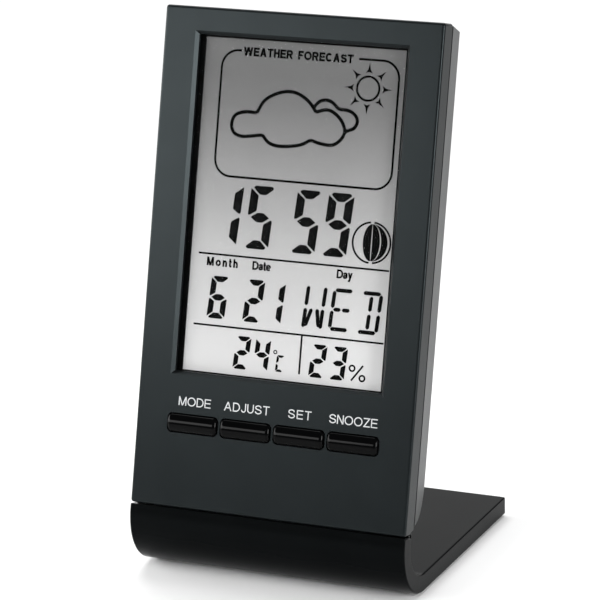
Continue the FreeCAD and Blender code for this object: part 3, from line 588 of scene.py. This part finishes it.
def segment_shapes(width, height, thick):
    """The seven bars of one digit, each as an outline before slanting.

    Points are in bar thicknesses, from the digit's left edge and from its top or its
    middle. The rest are the same bars mirrored or turned over.
    """
    middle = height / 2
    top_end = [(1.12, -0.97), (0.28, -0.25), (0.5, 0)]
    middle_end = [(1.15, -0.53), (0.38, 0), (1.15, 0.53)]
    upright_outer = [(0, -0.3), (1.0, -1.06)]
    upright_inner = [(1.0, 0.72), (0.16, 0.18), (0, 0.32)]

    def sized(points, base):
        return [(across * thick, base + upward * thick) for across, upward in points]

    def mirrored(points):
        return [(width - across, upward) for across, upward in reversed(points)]

    def turned(points):
        return [(across, height - upward) for across, upward in reversed(points)]

    top_left = sized(top_end, height)
    middle_left = sized(middle_end, middle)
    shapes = {
        "a": top_left + mirrored(top_left),
        "f": sized(upright_outer, height) + sized(upright_inner, middle),
        "g": middle_left + mirrored(middle_left),
    }
    shapes["b"] = mirrored(shapes["f"])
    for high_bar, low_bar in (("a", "d"), ("f", "e"), ("b", "c")):
        shapes[low_bar] = turned(shapes[high_bar])
    return shapes


def slanted(points, left, low):
    """Points of a digit, leant over and put at its place."""
    return [(left + across + SLANT * upward, low + upward) for across, upward in points]


def digit(mark, left, low, width, height, thick):
    """The bars that are on in one digit whose box starts at (left, low)."""
    shapes = segment_shapes(width, height, thick)
    return [rounded_outline(slanted(shapes[bar], left, low), thick * 0.12)
            for bar in SEGMENTS_ON[mark]]


def digits(name, marks, low, width, height, thick):
    """Several digits as one printed piece; marks are (digit, left edge) pairs."""
    outlines = []
    for mark, left in marks:
        outlines += digit(mark, left, low, width, height, thick)
    return printed(name, outlines, INK_DEPTH, INK_THICK, *INK)


def bar(start, end, thick):
    """A thin bar with cut ends, as the day's letters are made of."""
    start, end = Vector(start), Vector(end)
    run = (end - start).normalized()
    side = Vector((-run.y, run.x)) * thick / 2
    tip = run * thick * 0.42
    return rounded_outline([start, start + tip + side, end - tip + side, end,
                            end - tip - side, start + tip - side], thick * 0.13)


def day_letters():
    """W, E and D, made of thin bars; each has its left edge and its bars' ends."""
    low, height, thick = 42.8, 9.3, 0.88
    gap = 0.25
    middle = height / 2
    under, over = middle - gap, middle + gap
    low_bar, high_bar = 0.35, height - 0.35
    left_bar, right_bar = 0.3, 4.4
    letters = (
        (3.6, (((left_bar, over), (left_bar, height)), ((left_bar, 0), (left_bar, under)),
               ((0.75, 0.3), (1.75, under)), ((3.0, under), (3.95, 0.3)),
               ((right_bar, over), (right_bar, height)),
               ((right_bar, 0), (right_bar, under)))),
        (9.9, (((left_bar, over), (left_bar, height - 0.5)),
               ((left_bar, 0.5), (left_bar, under)),
               ((0.4, high_bar), (4.5, high_bar)), ((0.4, low_bar), (4.5, low_bar)),
               ((0.5, middle), (2.35, middle)), ((2.55, middle), (4.5, middle)))),
        (16.8, (((0.1, high_bar), (4.3, high_bar)), ((0.1, low_bar), (4.3, low_bar)),
                ((2.2, over), (2.2, height - 0.95)), ((2.2, 0.95), (2.2, under)),
                ((right_bar, over), (right_bar, height - 0.5)),
                ((right_bar, 0.5), (right_bar, under)))),
    )
    outlines = []
    for left, bars in letters:
        for start, end in bars:
            outline = bar(start, end, thick)
            outlines.append(slanted([tuple(point) for point in outline], left, low))
    return printed("lcd_day", outlines, INK_DEPTH, INK_THICK, *INK)


def arc(centre, radius, start, end, steps=14):
    """Points along an arc, from one angle to another in degrees."""
    points = []
    for step in range(steps + 1):
        turn = math.radians(start + (end - start) * step / steps)
        points.append((centre[0] + radius * math.cos(turn),
                       centre[1] + radius * math.sin(turn)))
    return points


def ring(centre, radius, width, corners):
    """A whole ring of quads."""
    path = arc(centre, radius, 0, 360 - 360 / corners, corners - 1)
    return stroke_outline(path, width, closed=True)


def forecast_frame():
    """A rounded frame, open at the top for its title."""
    left, right, low, high, corner = -20.2, 22.1, 74.5, 102.5, 3.9
    title_left, title_right = -15.6, 12.4
    width = 0.5
    path = [(title_left, high)] + arc((left + corner, high - corner), corner, 90, 180)
    path += arc((left + corner, low + corner), corner, 180, 270)
    path += arc((right - corner, low + corner), corner, 270, 360)
    path += arc((right - corner, high - corner), corner, 0, 90)
    path += [(title_right, high)]
    return printed("lcd_frame", stroke_outline(path, width), INK_DEPTH, INK_THICK, *INK)


def cloud():
    """A large cloud in front of a small one, drawn as bold outlines."""
    lobes = [
        [(-10.9, 89.0), (-13.7, 89.05), (-16.0, 88.2), (-16.8, 86.3), (-16.2, 84.4),
         (-14.4, 83.6), (-11.9, 83.8), (-9.2, 84.25)],
        [(-9.2, 84.25), (-7.6, 82.7), (-5.4, 82.1), (-2.2, 82.3), (0.4, 82.9), (2.4, 84.0)],
        [(2.4, 84.0), (5.0, 83.35), (7.6, 83.3), (9.4, 84.5), (10.3, 86.3), (9.6, 88.4),
         (7.9, 90.1), (5.8, 90.9), (3.2, 90.2)],
        [(3.2, 90.2), (1.4, 92.3), (-1.3, 93.9), (-4.2, 94.2), (-7.3, 93.2), (-9.5, 91.6),
         (-10.9, 89.0)],
        [(2.6, 91.2), (3.9, 92.6), (5.6, 93.0), (7.1, 92.5), (8.6, 91.3), (10.8, 91.1),
         (12.5, 90.2), (13.1, 88.7), (12.4, 87.3), (11.2, 86.8), (10.3, 86.3)],
    ]
    width = 0.78
    quads = []
    for lobe in lobes:
        quads += stroke_outline(smooth_path(lobe), width)
    return printed("lcd_cloud", quads, INK_DEPTH, INK_THICK, *INK)


def sun():
    """A ring with eight spikes round it."""
    centre, radius, width = (15.05, 96.2), 2.62, 0.5
    spikes = 8
    outlines = ring(centre, radius, width, 40)
    for spike in range(spikes):
        turn = math.radians(spike * 360 / spikes)
        out = Vector((math.cos(turn), math.sin(turn)))
        side = Vector((-out.y, out.x))
        base = Vector(centre) + out * 3.35
        neck = Vector(centre) + out * 4.2
        outlines.append([base + side * 0.82, base + out * 0.3, base - side * 0.82,
                         neck - side * 0.28, Vector(centre) + out * 5.65, neck + side * 0.28])
    return printed("lcd_sun", outlines, INK_DEPTH, INK_THICK, *INK)


def lens_between(centre, left_bulge, right_bulge, half_height):
    """A shape between two bulging sides that nearly meet above and below a centre."""

    def side(bulge, turn):
        return (centre[0] + bulge * math.cos(turn), centre[1] + half_height * math.sin(turn))

    steps = 16
    turns = [math.radians(-80 + 160 * step / steps) for step in range(steps + 1)]
    right_side = [side(right_bulge, turn) for turn in turns]
    left_side = [side(left_bulge, turn) for turn in reversed(turns)]
    return right_side + left_side


def moon():
    """A round moon dial: a thin ring, with dark crescents parted by pale lines."""
    centre, radius, width = (18.6, 62.8), 4.45, 0.42
    quads = stroke_outline(arc(centre, radius, 96, 266, 20), width)
    quads += stroke_outline(arc(centre, radius, 276, 446, 20), width)
    for left, right in ((-2.05, -0.12), (0.12, 1.95), (2.25, 3.75)):
        quads.append(lens_between(centre, left, right, 4.1))
    return printed("lcd_moon", quads, INK_DEPTH, INK_THICK, *INK)


def rules():
    """The lines that part the display's rows."""
    left, right, upper, lower, width = -22.5, 23.2, 57.0, 41.1, 0.42
    post, post_foot = 3.85, 32.4
    lines = (((left, upper), (right, upper)), ((left, lower), (right, lower)),
             ((post, lower), (post, post_foot)))
    quads = []
    for start, end in lines:
        quads += stroke_outline([start, end], width)
    return printed("lcd_rules", quads, INK_DEPTH, INK_THICK, *INK)


def signs():
    """The percent sign, which is two rings and a slash, and the degree sign's ring."""
    corners = 24
    quads = ring((16.3, 35.0), 0.62, 0.4, corners)
    quads += ring((18.8, 33.0), 0.62, 0.4, corners)
    quads += stroke_outline([(16.25, 32.3), (18.85, 35.8)], 0.42)
    quads += ring((-2.2, 36.7), 0.36, 0.24, corners)
    return printed("lcd_signs", quads, INK_DEPTH, INK_THICK, *INK)


def display_contents():
    """All that the display shows, drawn on its front film."""
    forecast_frame()
    cloud()
    sun()
    moon()
    rules()
    signs()
    # Each row of digits: its low edge, then a digit's width, height and bar thickness.
    time_row = (58.95, 6.05, 14.05, 2.0)
    digits("lcd_hours", [("1", -19.7), ("5", -11.9)], *time_row)
    digits("lcd_minutes", [("5", -0.75), ("9", 6.75)], *time_row)
    digits("lcd_month", [("6", -19.53)], 42.7, 4.35, 9.5, 1.35)
    digits("lcd_date", [("2", -10.8), ("1", -5.8)], 42.7, 4.25, 9.5, 1.35)
    small_row = (32.05, 3.6, 7.35, 1.12)
    digits("lcd_temperature", [("2", -12.3), ("4", -7.5)], *small_row)
    digits("lcd_humidity", [("2", 6.0), ("3", 10.9)], *small_row)
    digits("lcd_unit", [("c", -2.0)], 32.4, 1.85, 3.7, 0.55)
    day_letters()
    # Each title: its name, its words, its left, right, low and high edges, its strokes.
    narrow = 0.93
    titles = (("lcd_title", "WEATHER FORECAST", -15.2, 11.1, 101.4, 103.35, 0.47),
              ("lcd_word_month", "Month", -20.35, -12.8, 54.35, 56.3, 0.42),
              ("lcd_word_date", "Date", -9.25, -4.75, 54.35, 56.3, 0.4),
              ("lcd_word_day", "Day", 11.0, 14.8, 54.35, 56.3, 0.4))
    for name, words, left, right, low, high, thick in titles:
        lettering(name, words, left, right, low, high, thick, narrow, INK_DEPTH, INK_THICK,
                  *INK)


def key_labels():
    """The printed word over each key."""
    low, high, thick, narrow = 22.95, 24.95, 0.24, 1.0
    depth_mm, thick_mm = 0.0, 0.015
    labels = (("mode", "MODE", -23.05, -15.2), ("adjust", "ADJUST", -11.95, -0.95),
              ("set", "SET", 3.55, 9.1), ("snooze", "SNOOZE", 13.35, 24.75))
    for key, words, left, right in labels:
        lettering("label_" + key, words, left, right, low, high, thick, narrow, depth_mm,
                  thick_mm, "print", "case_plastic")


# ---------------------------------------------------------------- floor and light

def floor():
    """A pale floor, far larger than the view."""
    size = 3.0
    mesh = bpy.data.meshes.new("floor")
    mesh.from_pydata([(-size, -size, 0), (size, -size, 0), (size, size, 0), (-size, size, 0)],
                     [], [(0, 1, 2, 3)])
    piece = bpy.data.objects.new("floor", mesh)
    bpy.context.scene.collection.objects.link(piece)
    pale = material("floor_pale", (0.93, 0.93, 0.93), 0.6)
    mesh.materials.append(pale)


def world():
    """An even, dim white surround."""
    strength = 0.25
    sky = bpy.data.worlds.new("studio")
    sky.use_nodes = True
    background = sky.node_tree.nodes["Background"]
    background.inputs["Color"].default_value = (1, 1, 1, 1)
    background.inputs["Strength"].default_value = strength
    bpy.context.scene.world = sky


def softbox(name, place, target, width, height, brightness, spread=None):
    """A soft area lamp that faces a point; brightness is how bright its surface looks.

    A spread, in degrees, keeps its light near the way it faces.
    """
    lamp = bpy.data.lights.new(name, "AREA")
    lamp.shape = "RECTANGLE"
    lamp.size = width
    lamp.size_y = height
    lamp.energy = brightness * math.pi * width * height
    if spread:
        half = math.radians(spread) / 2
        lamp.spread = 2 * half
        lamp.energy *= (math.tan(half) - half) / math.tan(half)
    piece = bpy.data.objects.new(name, lamp)
    bpy.context.scene.collection.objects.link(piece)
    piece.location = place
    piece.rotation_euler = (Vector(target) - Vector(place)).to_track_quat("-Z", "Y").to_euler()


def lights():
    """Three lamps round the front, one high over the floor behind, and a dim one at the back."""
    softbox("front_left", (-0.335, -0.4, 0.209), (0, -0.02, 0.075), 0.42, 0.155, 10.9, 80)
    softbox("right_strip", (0.44, -0.2, 0.19), (0, -0.02, 0.08), 0.16, 0.26, 21.0, 80)
    softbox("over_floor", (-0.2, 0.55, 1.1), (-0.1, 0.3, 0), 1.2, 0.6, 5.2)
    softbox("back_card", (-0.45, 1.0, 0.35), (0, 0, 0.05), 1.2, 0.5, 0.8)
    softbox("low_left", (-0.45, -0.09, 0.15), (0, -0.04, 0), 0.42, 0.26, 9.0, 80)


# --------------------------------------------------------------------------- camera

def camera():
    """A long lens, from the right of the front and a little above."""
    turn = math.radians(23.6652)
    lift = math.radians(16.5574)
    roll = math.radians(-1.19)
    distance = 747.87 * MM
    target = Vector((-3.664, -1.521, 58.638)) * MM
    back = Vector((math.sin(turn) * math.cos(lift), -math.cos(turn) * math.cos(lift),
                   math.sin(lift)))
    right = Vector((math.cos(turn), math.sin(turn), 0))
    up = back.cross(right)
    right_rolled = right * math.cos(roll) + up * math.sin(roll)
    up_rolled = up * math.cos(roll) - right * math.sin(roll)
    view = bpy.data.cameras.new("camera")
    view.sensor_width = 36.0
    view.lens = 198.87
    view.clip_start = 10 * MM
    piece = bpy.data.objects.new("camera", view)
    bpy.context.scene.collection.objects.link(piece)
    place = target + back * distance
    piece.matrix_world = Matrix((
        (right_rolled.x, up_rolled.x, back.x, place.x),
        (right_rolled.y, up_rolled.y, back.y, place.y),
        (right_rolled.z, up_rolled.z, back.z, place.z),
        (0, 0, 0, 1)))
    bpy.context.scene.camera = piece


# How wide the rounding of each large moulding's edges is, in millimetres.
SOFT_EDGES = {"stand": 0.12, "front_case": 0.25, "rear_case": 0.12, "battery_door": 0.12}

bpy.context.scene.view_settings.view_transform = "Standard"
camera()
finish_nodes()
for node_name, width_mm in SOFT_EDGES.items():
    soften(NODES[node_name], width_mm)
display_contents()
key_labels()
floor()
world()
lights()
